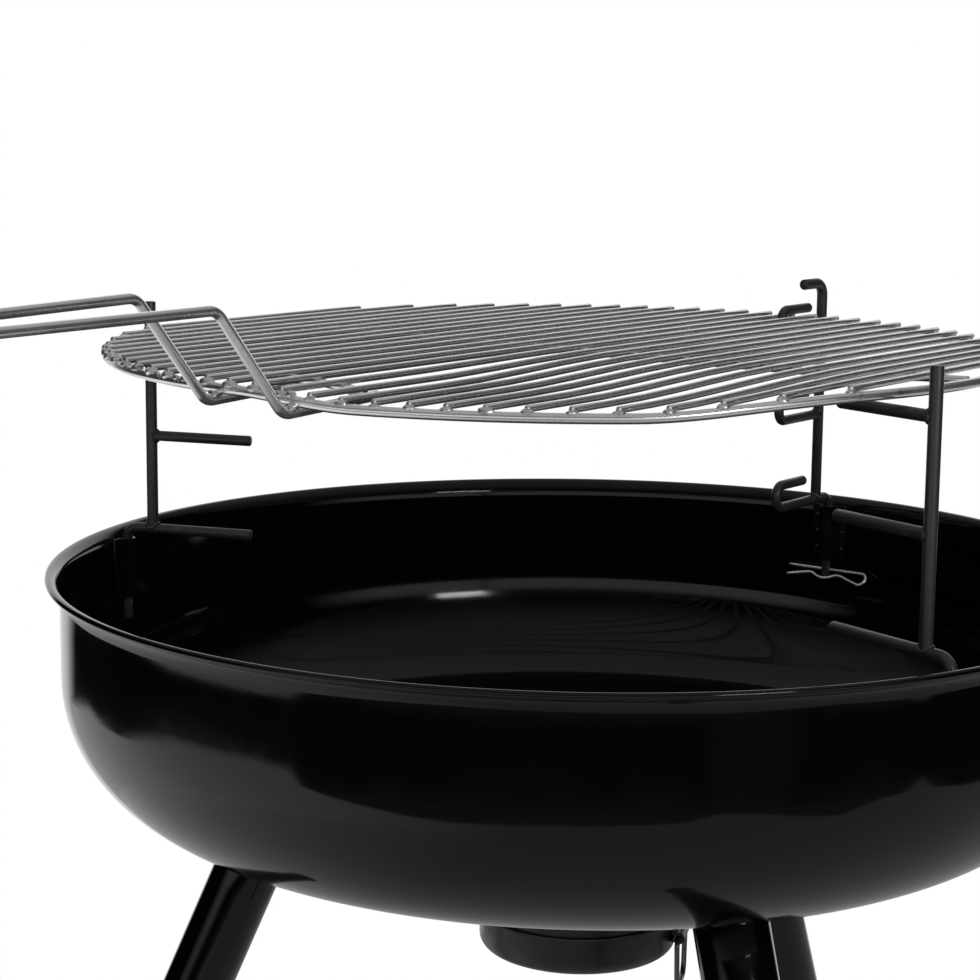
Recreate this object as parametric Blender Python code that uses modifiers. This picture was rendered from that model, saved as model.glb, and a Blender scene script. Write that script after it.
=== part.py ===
# Fire pit grill: enamelled bowl on three splayed legs, three rod supports that
# carry a round wire grate at three heights, and an ash pot under the bowl.
import math

import bmesh
import bpy
from mathutils import Matrix, Vector

# Frame: heights inside the bowl group are measured from the rim plane
RIM_HEIGHT = 0.600
BOWL_Y = 0.0479
GAP = 0.0003

# Bowl
RIM_R = 0.290
BEAD_R = 0.00175
WALL_R = 0.2825
FLARE_HEIGHT = 0.0080
SHEET = 0.0012
WALL_END = -0.0544
CORNER_R = 0.0768
CORNER_TURN = math.radians(68.5)
BOWL_STEPS = 56
ASH_HOLE_R = 0.006
ASH_HOLE_CIRCLE = 0.030
ASH_HOLE_COUNT = 6

# Legs
LEG_R = 0.019
LEG_WALL = 0.0015
LEG_SPLAY = math.radians(23.0)
LEG_TOP_R = 0.174
LEG_TOP_Z = -0.150
LEG_PLUG = 0.026
LEG_END_HEIGHT = 0.018
CAP_R = 0.0215
CAP_OVERLAP = 0.030
LEG_AZIMUTHS = {"left": -60.0, "right": 60.0, "back": 180.0}
BOLT_R = 0.004
BOLT_LENGTH = 0.019
BOLT_FLANGE_R = 0.009
BOLT_HEX_R = 0.0075
BOLT_HEX_HEIGHT = 0.0062
BOLT_SEAT = 0.0008

# Ash pot under the bowl
POT_R = 0.055
POT_TOP = -0.196
POT_BOTTOM = -0.218
POT_CORNER = 0.007
COLLAR_R = 0.0534
COLLAR_END = -0.2065
PULL_AZIMUTH = 114.0
PULL_Z = -0.207
PULL_WIRE_R = 0.0015
PULL_WIDTH = 0.032
PULL_DROP = 0.028
KNUCKLE_R = 0.0034
KNUCKLE_LENGTH = 0.020

# Grate supports
SIDE_AZIMUTH = 71.4
POST_R = 0.00325
ARM_R = 0.003
POST_AT = 0.260
PEG_AT = 0.277
PEG_END = -0.053
LEVELS = (0.0015, 0.056, 0.110)
SIDE_POST_TOP = 0.1334
BACK_POST_TOP = 0.1385
BACK_STUB_AT = 0.236
ARM_TIP_AT = 0.198
HOOK_AT = 0.210
HOOK_TIP_AT = 0.243
HOOK_RISE = 0.014
SOCKET_TOP = -0.005
SOCKET_BOTTOM = -0.040
SOCKET_SHEET = 0.0012
SOCKET_INNER = 0.0037
SOCKET_FLANGE = 0.0115
SOCKET_BACK_AT = 0.2802
CLIP_WIRE_R = 0.001
CLIP_Z = -0.0466

# Grate
RING_R = 0.2415
RING_WIRE_R = 0.0025
BAR_R = 0.00165
BAR_COUNT = 29
BAR_PITCH = 0.0160
BAR_FIRST = -BAR_PITCH * (BAR_COUNT - 1) / 2
BAR_OVERHANG = 0.0044
CROSS_R = 0.002
CROSS_BITE = 0.0005
SHORT_CROSS_AT = 0.196
GRATE_SHIFT_X = -0.0087
GRATE_SHIFT_Y = -0.011
GRATE_TURN = math.radians(-0.6)
GRATE_Z = LEVELS[2] + ARM_R + RING_WIRE_R + GAP
HANDLE_SIDE = 0.024
HANDLE_OFFSET = -0.002
HANDLE_ROOT = 0.180
HANDLE_HEEL = 0.2465
HANDLE_KNEE = 0.2845
HANDLE_END = 0.4706
HANDLE_KNEE_Z = 0.1605
HANDLE_END_Z = 0.153
HANDLE_HEEL_Z = 0.1098


def clear_scene():
    for old in list(bpy.data.objects):
        bpy.data.objects.remove(old, do_unlink=True)


def make_collection(name):
    group = bpy.data.collections.new(name)
    bpy.context.scene.collection.children.link(group)
    return group


def make_material(name, color, roughness, metallic):
    made = bpy.data.materials.new(name)
    made.use_nodes = True
    shader = made.node_tree.nodes["Principled BSDF"]
    shader.inputs["Base Color"].default_value = (*color, 1.0)
    shader.inputs["Roughness"].default_value = roughness
    shader.inputs["Metallic"].default_value = metallic
    return made


clear_scene()
PARTS = make_collection("fire_pit_grill")
CUTTERS = make_collection("cutters")
FINISHES = {
    "enamel": make_material("black_enamel", (0.012, 0.012, 0.013), 0.12, 0.0),
    "satin": make_material("satin_black", (0.02, 0.02, 0.021), 0.45, 0.0),
    "chrome": make_material("chromed_wire", (0.62, 0.62, 0.63), 0.25, 1.0),
    "zinc": make_material("zinc_bolt", (0.5, 0.5, 0.51), 0.4, 1.0),
    "rubber": make_material("foot_rubber", (0.02, 0.02, 0.02), 0.8, 0.0),
}


def own_material(name, finish):
    made = FINISHES[finish].copy()
    made.name = name + "_finish"
    return made


def make_empty(name, location, parent=None, turn=0.0):
    holder = bpy.data.objects.new(name, None)
    PARTS.objects.link(holder)
    holder.parent = parent
    holder.location = location
    holder.rotation_euler = (0.0, 0.0, turn)
    return holder


def add_part(name, data, finish, parent, smooth=40.0):
    part = bpy.data.objects.new(name, data)
    PARTS.objects.link(part)
    part.parent = parent
    data.materials.append(own_material(name, finish))
    if part.type == "MESH":
        data.shade_smooth()
        data.set_sharp_from_angle(angle=math.radians(smooth))
    return part


def add_cutter(name, data, parent):
    cutter = bpy.data.objects.new(name, data)
    CUTTERS.objects.link(cutter)
    cutter.parent = parent
    cutter.hide_render = True
    cutter.display_type = "WIRE"
    return cutter


def boolean(part, cutter, operation="DIFFERENCE"):
    step = part.modifiers.new(cutter.name, "BOOLEAN")
    step.operation = operation
    step.solver = "EXACT"
    step.object = cutter


def outward(azimuth_deg):
    angle = math.radians(azimuth_deg)
    return Vector((math.sin(angle), -math.cos(angle), 0.0))


def radial_turn(azimuth_deg):
    way = outward(azimuth_deg)
    return math.atan2(way.y, way.x)


def arc(centre_x, centre_z, radius_x, radius_z, start, end, count):
    points = []
    for step in range(count + 1):
        angle = start + (end - start) * step / count
        points.append((centre_x + radius_x * math.cos(angle), centre_z + radius_z * math.sin(angle)))
    return points


def profile_mesh(name, profile, closed=False):
    mesh = bpy.data.meshes.new(name)
    points = [(x, 0.0, z) for x, z in profile]
    edges = [(index, index + 1) for index in range(len(points) - 1)]
    if closed:
        edges.append((len(points) - 1, 0))
    mesh.from_pydata(points, edges, [])
    return mesh


def turn_profile(part, steps):
    screw = part.modifiers.new("turned", "SCREW")
    screw.axis = "Z"
    screw.angle = math.tau
    screw.steps = steps
    screw.render_steps = steps
    screw.use_merge_vertices = True
    screw.merge_threshold = 0.0001
    screw.use_normal_calculate = True


def cylinder_mesh(name, radius, start, end, sides=24):
    start = Vector(start)
    end = Vector(end)
    along = end - start
    mesh = bpy.data.meshes.new(name)
    shape = bmesh.new()
    place = Matrix.Translation((start + end) / 2) @ along.to_track_quat("Z", "Y").to_matrix().to_4x4()
    length = along.length
    bmesh.ops.create_cone(
        shape, cap_ends=True, segments=sides, radius1=radius, radius2=radius, depth=length, matrix=place
    )
    shape.to_mesh(mesh)
    shape.free()
    return mesh


def rounded_path(corners, bends, steps=5):
    # Each inner corner of the path becomes an arc of its own bend radius
    path = [Vector(corners[0])]
    for before, corner, after, radius in zip(corners, corners[1:], corners[2:], bends):
        corner = Vector(corner)
        back = (Vector(before) - corner).normalized()
        ahead = (Vector(after) - corner).normalized()
        half = back.angle(ahead) / 2
        centre = corner + (back + ahead).normalized() * (radius / math.sin(half))
        reach = radius / math.tan(half)
        first = corner + back * reach - centre
        last = corner + ahead * reach - centre
        for step in range(steps + 1):
            path.append(centre + first.slerp(last, step / steps).normalized() * radius)
    path.append(Vector(corners[-1]))
    return path


def wire_curve(name, path, radius, cyclic=False):
    curve = bpy.data.curves.new(name, "CURVE")
    curve.dimensions = "3D"
    curve.bevel_depth = radius
    curve.bevel_resolution = 2
    curve.use_fill_caps = not cyclic
    spline = curve.splines.new("POLY")
    spline.points.add(len(path) - 1)
    for point, place in zip(spline.points, path):
        point.co = (*place, 1.0)
    spline.use_cyclic_u = cyclic
    return curve


def curve_to_mesh(part):
    bpy.context.view_layer.update()
    evaluated = part.evaluated_get(bpy.context.evaluated_depsgraph_get())
    mesh = bpy.data.meshes.new_from_object(evaluated)
    shape = bmesh.new()
    shape.from_mesh(mesh)
    bmesh.ops.remove_doubles(shape, verts=shape.verts, dist=0.00001)
    shape.to_mesh(mesh)
    shape.free()
    name = part.name
    parent = part.parent
    place = part.matrix_world.copy()
    bpy.data.objects.remove(part, do_unlink=True)
    solid = bpy.data.objects.new(name, mesh)
    PARTS.objects.link(solid)
    solid.parent = parent
    bpy.context.view_layer.update()
    solid.matrix_world = place
    mesh.shade_smooth()
    return solid


def dome_radius():
    return (WALL_R - CORNER_R) / math.cos(CORNER_TURN) + CORNER_R


def dome_centre_z():
    return WALL_END + (dome_radius() - CORNER_R) * math.sin(CORNER_TURN)


def bowl_side(grow, count=5):
    # Wall, corner and dome seen in section, grown outward or inward by a thickness
    profile = [(WALL_R + grow, WALL_END)]
    profile += arc(
        WALL_R - CORNER_R, WALL_END, CORNER_R + grow, CORNER_R + grow, 0.0, -CORNER_TURN, count
    )[1:]
    dome = dome_radius() + grow
    profile += arc(0.0, dome_centre_z(), dome, dome, -CORNER_TURN, -math.pi / 2, count)[1:]
    profile[-1] = (0.0, dome_centre_z() - dome)
    return profile


def bowl_profile():
    flare_x = RIM_R - BEAD_R - WALL_R
    flare_z = -2 * BEAD_R - FLARE_HEIGHT
    bead = arc(RIM_R - BEAD_R, -BEAD_R, BEAD_R, BEAD_R, math.pi / 2, -math.pi / 2, 4)
    outer = arc(WALL_R + flare_x, flare_z, flare_x, FLARE_HEIGHT, math.pi / 2, math.pi, 3)[1:]
    inner = arc(
        WALL_R + flare_x, flare_z, flare_x + SHEET, FLARE_HEIGHT + 2 * BEAD_R, math.pi, math.pi / 2, 3
    )[:-1]
    return bowl_side(-SHEET)[::-1] + inner + bead + outer + bowl_side(0.0)


def build_bowl(base):
    bowl = add_part("bowl", profile_mesh("bowl", bowl_profile()), "enamel", base)
    turn_profile(bowl, BOWL_STEPS)
    low = dome_centre_z() - dome_radius() - 0.01
    centres = [Vector((0.0, 0.0, 0.0))]
    for index in range(ASH_HOLE_COUNT):
        centres.append(outward(360.0 * index / ASH_HOLE_COUNT) * ASH_HOLE_CIRCLE)
    for index, centre in enumerate(centres):
        start = centre + Vector((0.0, 0.0, low))
        end = centre + Vector((0.0, 0.0, low + 0.03))
        hole = cylinder_mesh("ash_hole", ASH_HOLE_R, start, end, 12)
        boolean(bowl, add_cutter(f"ash_hole_{index}", hole, base))
    return bowl


def bowl_envelope(base):
    # The space the bowl fills, grown by the fit gap, for trimming what is welded under it
    profile = [(0.0, 0.02), (WALL_R + GAP, 0.02)] + bowl_side(GAP)
    envelope = add_cutter("bowl_envelope", profile_mesh("bowl_envelope", profile), base)
    turn_profile(envelope, BOWL_STEPS)
    return envelope


def leg_axis_point(azimuth, height):
    reach = LEG_TOP_R + (LEG_TOP_Z - height) * math.tan(LEG_SPLAY)
    return outward(azimuth) * reach + Vector((0.0, 0.0, height))


def leg_way(azimuth):
    return (leg_axis_point(azimuth, -1.0) - leg_axis_point(azimuth, 0.0)).normalized()


def bolt_line(azimuth):
    # A point on the bowl's outer skin above the leg, and the skin's outward normal there
    lean = math.asin(LEG_TOP_R / dome_radius())
    way = outward(azimuth) * math.sin(lean) - Vector((0.0, 0.0, math.cos(lean)))
    return Vector((0.0, 0.0, dome_centre_z())) + way * dome_radius(), way


def build_leg(side, azimuth, base, bowl, envelope):
    way = leg_way(azimuth)
    top = leg_axis_point(azimuth, LEG_TOP_Z + 0.03)
    end = leg_axis_point(azimuth, LEG_END_HEIGHT - RIM_HEIGHT)
    leg = add_part(f"leg_{side}", cylinder_mesh("leg", LEG_R, top, end, 32), "enamel", base)
    seat = leg_axis_point(azimuth, LEG_TOP_Z)
    bore_start = seat + way * LEG_PLUG
    bore = cylinder_mesh("leg_bore", LEG_R - LEG_WALL, bore_start, end + way * 0.01, 32)
    boolean(leg, envelope)
    boolean(leg, add_cutter(f"leg_bore_{side}", bore, base))
    skin, normal = bolt_line(azimuth)
    deep = skin + normal * (BOLT_LENGTH + 0.002)
    hole = cylinder_mesh("bolt_hole", BOLT_R + GAP, skin - normal * 0.01, deep)
    drill = add_cutter(f"bolt_hole_{side}", hole, base)
    boolean(leg, drill)
    boolean(bowl, drill)
    return leg


def build_leg_bolt(side, azimuth, base):
    skin, normal = bolt_line(azimuth)
    seat = skin - normal * (SHEET + BOLT_SEAT)
    shank = cylinder_mesh("bolt", BOLT_R, seat - normal * 0.001, seat + normal * BOLT_LENGTH, 16)
    bolt = add_part(f"leg_bolt_{side}", shank, "zinc", base)
    flange = cylinder_mesh("bolt_flange", BOLT_FLANGE_R, seat, seat - normal * 0.0018, 24)
    boolean(bolt, add_cutter(f"bolt_flange_{side}", flange, base), "UNION")
    top = seat - normal * BOLT_HEX_HEIGHT
    head = cylinder_mesh("bolt_head", BOLT_HEX_R, seat - normal * 0.001, top, 6)
    boolean(bolt, add_cutter(f"bolt_head_{side}", head, base), "UNION")
    return bolt


def build_foot_cap(side, azimuth, base):
    way = leg_way(azimuth)
    end = leg_axis_point(azimuth, LEG_END_HEIGHT - RIM_HEIGHT)
    cap_mesh = cylinder_mesh("foot_cap", CAP_R, end - way * CAP_OVERLAP, end + way * 0.05, 32)
    cap = add_part(f"foot_cap_{side}", cap_mesh, "rubber", base)
    pocket = cylinder_mesh("foot_pocket", LEG_R + GAP, end - way * 0.06, end + way * GAP, 32)
    boolean(cap, add_cutter(f"foot_pocket_{side}", pocket, base))
    ground = bpy.data.meshes.new("ground_cut")
    shape = bmesh.new()
    bmesh.ops.create_cube(shape, size=0.2)
    shape.to_mesh(ground)
    shape.free()
    cutter = add_cutter(f"ground_cut_{side}", ground, base)
    cutter.location = (end.x, end.y, -RIM_HEIGHT - 0.1)
    boolean(cap, cutter)
    return cap


def build_ash_collar(base, envelope):
    inner = COLLAR_R - SHEET
    profile = [(COLLAR_R, LEG_TOP_Z), (COLLAR_R, COLLAR_END), (inner, COLLAR_END), (inner, LEG_TOP_Z)]
    collar = add_part("ash_collar", profile_mesh("ash_collar", profile, closed=True), "satin", base)
    turn_profile(collar, 40)
    boolean(collar, envelope)
    return collar


def build_ash_pot(slide):
    corner_x = POT_R - POT_CORNER
    corner_z = POT_BOTTOM + POT_CORNER
    inner_corner = POT_CORNER - SHEET
    profile = [(0.0, POT_BOTTOM + SHEET)]
    profile += arc(corner_x, corner_z, inner_corner, inner_corner, -math.pi / 2, 0.0, 3)
    profile += [(POT_R - SHEET, POT_TOP), (POT_R, POT_TOP)]
    profile += arc(corner_x, corner_z, POT_CORNER, POT_CORNER, 0.0, -math.pi / 2, 4)
    profile.append((0.0, POT_BOTTOM))
    pot = add_part("ash_pot", profile_mesh("ash_pot", profile), "satin", slide)
    turn_profile(pot, 40)
    return pot


def build_knuckle(slide, pivot_place, turn):
    half = KNUCKLE_LENGTH / 2
    mesh = cylinder_mesh("knuckle", KNUCKLE_R, (0.0, -half, 0.0), (0.0, half, 0.0), 20)
    knuckle = add_part("ash_pot_knuckle", mesh, "satin", slide)
    knuckle.location = pivot_place
    knuckle.rotation_euler = (0.0, 0.0, turn)
    start = (0.0, -KNUCKLE_LENGTH, 0.0)
    end = (0.0, KNUCKLE_LENGTH, 0.0)
    bore = cylinder_mesh("knuckle_bore", PULL_WIRE_R + GAP, start, end, 16)
    cutter = add_cutter("knuckle_bore", bore, slide)
    cutter.location = pivot_place
    cutter.rotation_euler = (0.0, 0.0, turn)
    boolean(knuckle, cutter)
    return knuckle


def build_pull_ring(pivot):
    # The straight top of the ring lies on the pivot, and the bow hangs below it
    half = PULL_WIDTH / 2
    low = half * 0.8
    corners = [(0.0, 0.0, 0.0), (0.0, half, 0.0), (0.0, low, -PULL_DROP)]
    corners += [(0.0, -low, -PULL_DROP), (0.0, -half, 0.0), (0.0, 0.0, 0.0)]
    path = rounded_path(corners, [0.003, 0.008, 0.008, 0.003], 4)[:-1]
    curve = wire_curve("ash_pull_ring", path, PULL_WIRE_R, cyclic=True)
    return add_part("ash_pull_ring", curve, "chrome", pivot)


def along_support(at, height):
    # A point of a support, by its distance from the bowl's axis
    return Vector((at - PEG_AT, 0.0, height))


def build_socket(side, azimuth, base):
    # A strap bent round the peg, its two flanges welded to the bowl's wall
    back = SOCKET_BACK_AT - PEG_AT
    front = back - SOCKET_SHEET
    outer = SOCKET_INNER + SOCKET_SHEET
    inside = arc(0.0, 0.0, SOCKET_INNER, SOCKET_INNER, math.pi / 2, 1.5 * math.pi, 8)
    outside = arc(0.0, 0.0, outer, outer, 1.5 * math.pi, math.pi / 2, 8)
    outline = [(back, SOCKET_FLANGE), (back, SOCKET_INNER)] + inside
    outline += [(back, -SOCKET_INNER), (back, -SOCKET_FLANGE), (front, -SOCKET_FLANGE), (front, -outer)]
    outline += outside + [(front, outer), (front, SOCKET_FLANGE)]
    curve = bpy.data.curves.new("socket", "CURVE")
    curve.dimensions = "2D"
    curve.fill_mode = "BOTH"
    curve.extrude = (SOCKET_TOP - SOCKET_BOTTOM) / 2
    spline = curve.splines.new("POLY")
    spline.points.add(len(outline) - 1)
    for point, (x, y) in zip(spline.points, outline):
        point.co = (x, y, 0.0, 1.0)
    spline.use_cyclic_u = True
    socket = add_part(f"socket_{side}", curve, "satin", base)
    socket.location = outward(azimuth) * PEG_AT + Vector((0.0, 0.0, (SOCKET_TOP + SOCKET_BOTTOM) / 2))
    socket.rotation_euler = (0.0, 0.0, radial_turn(azimuth))
    return socket


def post_cutters(side, frame):
    # Clearances that give each welded rod the saddle of the rod it stands on
    tip = along_support(ARM_TIP_AT, LEVELS[0])
    low = cylinder_mesh("foot_saddle", ARM_R + GAP, tip, along_support(PEG_AT, LEVELS[0]), 24)
    bottom = along_support(POST_AT, -0.01)
    top = along_support(POST_AT, BACK_POST_TOP + 0.01)
    tall = cylinder_mesh("arm_saddle", POST_R + GAP, bottom, top, 24)
    foot_saddle = add_cutter(f"foot_saddle_{side}", low, frame)
    arm_saddle = add_cutter(f"arm_saddle_{side}", tall, frame)
    return foot_saddle, arm_saddle


def build_side_support(side, frame):
    foot_saddle, arm_saddle = post_cutters(side, frame)
    post_mesh = cylinder_mesh(
        "post", POST_R, along_support(POST_AT, LEVELS[0]), along_support(POST_AT, SIDE_POST_TOP), 20
    )
    post = add_part(f"{side}_post", post_mesh, "satin", frame)
    boolean(post, foot_saddle)
    corners = [
        along_support(ARM_TIP_AT, LEVELS[0]),
        along_support(PEG_AT, LEVELS[0]),
        along_support(PEG_AT, PEG_END),
    ]
    low = wire_curve("low_arm", rounded_path(corners, [0.008]), ARM_R)
    add_part(f"{side}_low_arm", low, "satin", frame)
    for level, name in zip(LEVELS[1:], ("middle", "top")):
        root = along_support(POST_AT, level)
        mesh = cylinder_mesh("arm", ARM_R, root, along_support(ARM_TIP_AT, level), 16)
        boolean(add_part(f"{side}_{name}_arm", mesh, "satin", frame), arm_saddle)


def build_back_support(frame):
    foot_saddle, arm_saddle = post_cutters("back", frame)
    corners = [
        along_support(POST_AT, LEVELS[0]),
        along_support(POST_AT, BACK_POST_TOP),
        along_support(BACK_STUB_AT, BACK_POST_TOP),
    ]
    bent = wire_curve("back_post", rounded_path(corners, [0.008]), POST_R)
    boolean(curve_to_mesh(add_part("back_post", bent, "satin", frame)), foot_saddle)
    for level, name in zip(LEVELS, ("low", "middle", "top")):
        corners = [
            along_support(HOOK_TIP_AT, level + HOOK_RISE),
            along_support(HOOK_AT, level + HOOK_RISE),
            along_support(HOOK_AT, level),
        ]
        bends = [0.006, 0.006]
        if name == "low":
            corners += [along_support(PEG_AT, level), along_support(PEG_AT, PEG_END)]
            bends.append(0.008)
        else:
            corners.append(along_support(POST_AT, level))
        path = rounded_path(corners, bends)
        hook = add_part(f"back_{name}_hook", wire_curve("hook", path, ARM_R), "satin", frame)
        hook = curve_to_mesh(hook)
        if name == "low":
            start = (0.0, -0.01, CLIP_Z)
            end = (0.0, 0.01, CLIP_Z)
            hole = cylinder_mesh("clip_hole", CLIP_WIRE_R + GAP, start, end, 12)
            boolean(hook, add_cutter("clip_hole", hole, frame))
        else:
            boolean(hook, arm_saddle)


def build_r_clip(frame):
    # Drawn as distance along the wall and distance away from the straight leg
    lean = math.radians(47.0)
    loop = arc(0.0255, 0.0043, 0.0043, 0.0043, -math.pi / 2, math.pi / 2, 8)
    wave = [
        (0.0180, 0.0062),
        (0.0120, 0.0042),
        (0.0080, 0.0042),
        (0.0045, 0.0060),
        (0.0, 0.0069),
        (-0.0045, 0.0060),
        (-0.0080, 0.0042),
        (-0.0120, 0.0040),
        (-0.0255, 0.0072),
    ]
    path = []
    for along, away in [(-0.0265, 0.0), (0.0, 0.0)] + loop + wave:
        path.append(Vector((-away * math.cos(lean), -along, CLIP_Z - away * math.sin(lean))))
    add_part("r_clip", wire_curve("r_clip", path, CLIP_WIRE_R), "chrome", frame)


def build_grate_ring(centre):
    section = arc(RING_R, 0.0, RING_WIRE_R, RING_WIRE_R, math.tau, math.tau / 8, 7)
    ring = add_part("grate_ring", profile_mesh("grate_ring", section, closed=True), "chrome", centre)
    turn_profile(ring, 84)
    return ring


def build_grate_bars(centre):
    mesh = bpy.data.meshes.new("grate_bars")
    shape = bmesh.new()
    height = RING_WIRE_R + GAP + BAR_R
    for index in range(BAR_COUNT):
        across = BAR_FIRST + index * BAR_PITCH
        half = math.sqrt(RING_R**2 - across**2)
        length = 2 * half + BAR_OVERHANG + CROSS_BITE
        middle = (BAR_OVERHANG - CROSS_BITE) / 2
        place = Matrix.Translation((across, middle, height)) @ Matrix.Rotation(math.pi / 2, 4, "X")
        bmesh.ops.create_cone(
            shape, cap_ends=True, segments=8, radius1=BAR_R, radius2=BAR_R, depth=length, matrix=place
        )
    shape.to_mesh(mesh)
    shape.free()
    bars = add_part("grate_bars", mesh, "chrome", centre)
    level = height - BAR_R - CROSS_R + CROSS_BITE
    half = RING_R - RING_WIRE_R - 3 * GAP
    reach = HANDLE_SIDE + 0.006
    wires = {
        "long_cross": ((-half, 0.0, level), (half, 0.0, level)),
        "short_cross": (
            (HANDLE_OFFSET - reach, -SHORT_CROSS_AT, level),
            (HANDLE_OFFSET + reach, -SHORT_CROSS_AT, level),
        ),
    }
    for name, (start, end) in wires.items():
        cutter = add_cutter(name, cylinder_mesh(name, CROSS_R, start, end, 12), centre)
        boolean(bars, cutter, "UNION")
    return bars


def build_grate_handle(centre):
    # The wires pass under the ring and end under the short cross wire
    cross_z = RING_WIRE_R + GAP - CROSS_R + CROSS_BITE
    root_z = cross_z - CROSS_R - GAP - RING_WIRE_R
    side_path = [
        (HANDLE_ROOT, root_z),
        (HANDLE_HEEL, HANDLE_HEEL_Z - GRATE_Z),
        (HANDLE_KNEE, HANDLE_KNEE_Z - GRATE_Z),
        (HANDLE_END, HANDLE_END_Z - GRATE_Z),
    ]
    left = HANDLE_OFFSET - HANDLE_SIDE
    right = HANDLE_OFFSET + HANDLE_SIDE
    corners = [Vector((left, -along, height)) for along, height in side_path]
    corners += [Vector((right, -along, height)) for along, height in reversed(side_path)]
    path = rounded_path(corners, [0.010, 0.010, 0.018, 0.018, 0.010, 0.010])
    return add_part("grate_handle", wire_curve("grate_handle", path, RING_WIRE_R), "chrome", centre)


def build_stand(base):
    bowl = build_bowl(base)
    envelope = bowl_envelope(base)
    for side, azimuth in LEG_AZIMUTHS.items():
        build_leg(side, azimuth, base, bowl, envelope)
        build_leg_bolt(side, azimuth, base)
        build_foot_cap(side, azimuth, base)
    build_ash_collar(base, envelope)


def build_ash_group(base):
    slide = make_empty("ash_pot_slide", (0.0, 0.0, 0.0), base)
    build_ash_pot(slide)
    turn = radial_turn(PULL_AZIMUTH)
    pivot_place = outward(PULL_AZIMUTH) * (POT_R + GAP + KNUCKLE_R) + Vector((0.0, 0.0, PULL_Z))
    build_knuckle(slide, pivot_place, turn)
    build_pull_ring(make_empty("pull_ring_pivot", pivot_place, slide, turn))


def build_supports(base):
    azimuths = {"left": -SIDE_AZIMUTH, "right": SIDE_AZIMUTH, "back": 180.0}
    for side, azimuth in azimuths.items():
        build_socket(side, azimuth, base)
        turn = radial_turn(azimuth)
        frame = make_empty(f"{side}_support_pivot", outward(azimuth) * PEG_AT, base, turn)
        if side == "back":
            build_back_support(frame)
            build_r_clip(frame)
        else:
            build_side_support(side, frame)


def build_grate(base):
    rear = math.sqrt(RING_R**2 - GRATE_SHIFT_X**2)
    hinge = make_empty("grate_hinge", (0.0, rear + GRATE_SHIFT_Y, GRATE_Z), base)
    centre = make_empty("grate_centre", (GRATE_SHIFT_X, -rear, 0.0), hinge, GRATE_TURN)
    build_grate_ring(centre)
    build_grate_bars(centre)
    build_grate_handle(centre)


BASE = make_empty("bowl_axis", (0.0, BOWL_Y, RIM_HEIGHT))
build_stand(BASE)
build_ash_group(BASE)
build_supports(BASE)
build_grate(BASE)
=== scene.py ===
import math
import random

import bpy
from mathutils import Matrix, Vector, noise


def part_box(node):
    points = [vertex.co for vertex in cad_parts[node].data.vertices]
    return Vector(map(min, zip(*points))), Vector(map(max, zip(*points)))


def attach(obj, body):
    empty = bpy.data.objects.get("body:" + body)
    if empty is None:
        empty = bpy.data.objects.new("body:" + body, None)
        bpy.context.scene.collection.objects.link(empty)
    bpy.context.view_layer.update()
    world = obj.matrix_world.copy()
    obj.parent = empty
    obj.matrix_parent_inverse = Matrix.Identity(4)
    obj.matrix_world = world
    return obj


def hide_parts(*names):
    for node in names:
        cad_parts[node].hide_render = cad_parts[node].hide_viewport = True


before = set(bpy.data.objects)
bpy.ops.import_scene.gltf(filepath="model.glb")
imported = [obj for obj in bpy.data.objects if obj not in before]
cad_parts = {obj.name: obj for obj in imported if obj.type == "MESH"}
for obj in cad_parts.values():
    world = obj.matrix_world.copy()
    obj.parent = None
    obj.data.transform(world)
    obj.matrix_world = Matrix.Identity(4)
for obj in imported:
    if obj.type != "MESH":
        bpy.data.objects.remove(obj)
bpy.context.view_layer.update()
random.seed(7)

# The bowl group is measured from the bowl's axis and from its rim plane
bowlLow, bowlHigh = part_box("bowl")
rimR = (bowlHigh[0] - bowlLow[0]) / 2
rimHeight = bowlHigh[2]
axisY = (bowlLow[1] + bowlHigh[1]) / 2
weldGap = 0.0003  # air left between two pieces that meet
softEdge = 0.0003  # rounding of a cut edge
upright = Vector((0, 0, 1))


def around(azimuth):
    angle = math.radians(azimuth)
    return Vector((math.sin(angle), -math.cos(angle), 0))


def fromAxis(azimuth, away, height, aside=0.0):
    # aside runs anticlockwise, square to the direction of the azimuth
    out = around(azimuth)
    side = Vector((-out.y, out.x, 0))
    return out * away + side * aside + Vector((0, axisY, rimHeight + height))


# Finishes

def addNode(tree, kind, inputs=None, **settings):
    # Each input is set to its value, or joined when its value is another node's socket
    made = tree.nodes.new(kind)
    for name, value in settings.items():
        setattr(made, name, value)
    for name, value in (inputs or {}).items():
        if isinstance(value, bpy.types.NodeSocket):
            join(value, made.inputs[name])
        else:
            made.inputs[name].default_value = value
    return made


def join(source, target):
    source.id_data.links.new(source, target)


def grain(tree, scale, detail, roughness=0.5):
    # Noise in the piece's own coordinates
    place = addNode(tree, "ShaderNodeTexCoord").outputs["Object"]
    inputs = {"Vector": place, "Scale": scale, "Detail": detail, "Roughness": roughness}
    return addNode(tree, "ShaderNodeTexNoise", inputs).outputs["Fac"]


def spots(tree, scale, size):
    # Small round marks: 1 inside a mark, 0 outside
    place = addNode(tree, "ShaderNodeTexCoord").outputs["Object"]
    cells = addNode(tree, "ShaderNodeTexVoronoi", {"Vector": place, "Scale": scale})
    return spread(cells.outputs["Distance"], (0.0, size), (1.0, 0.0))


def spread(value, source, target=(0.0, 1.0)):
    # Maps a value from one range to another and holds it inside
    inputs = dict(zip(("From Min", "From Max", "To Min", "To Max"), (*source, *target)))
    inputs["Value"] = value
    return addNode(value.id_data, "ShaderNodeMapRange", inputs, clamp=True).outputs["Result"]


def twoColors(value, low, high):
    ramp = addNode(value.id_data, "ShaderNodeValToRGB", {"Fac": value})
    for stop, color in zip(ramp.color_ramp.elements, (low, high)):
        stop.color = (*color, 1)
    return ramp.outputs["Color"]


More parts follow.
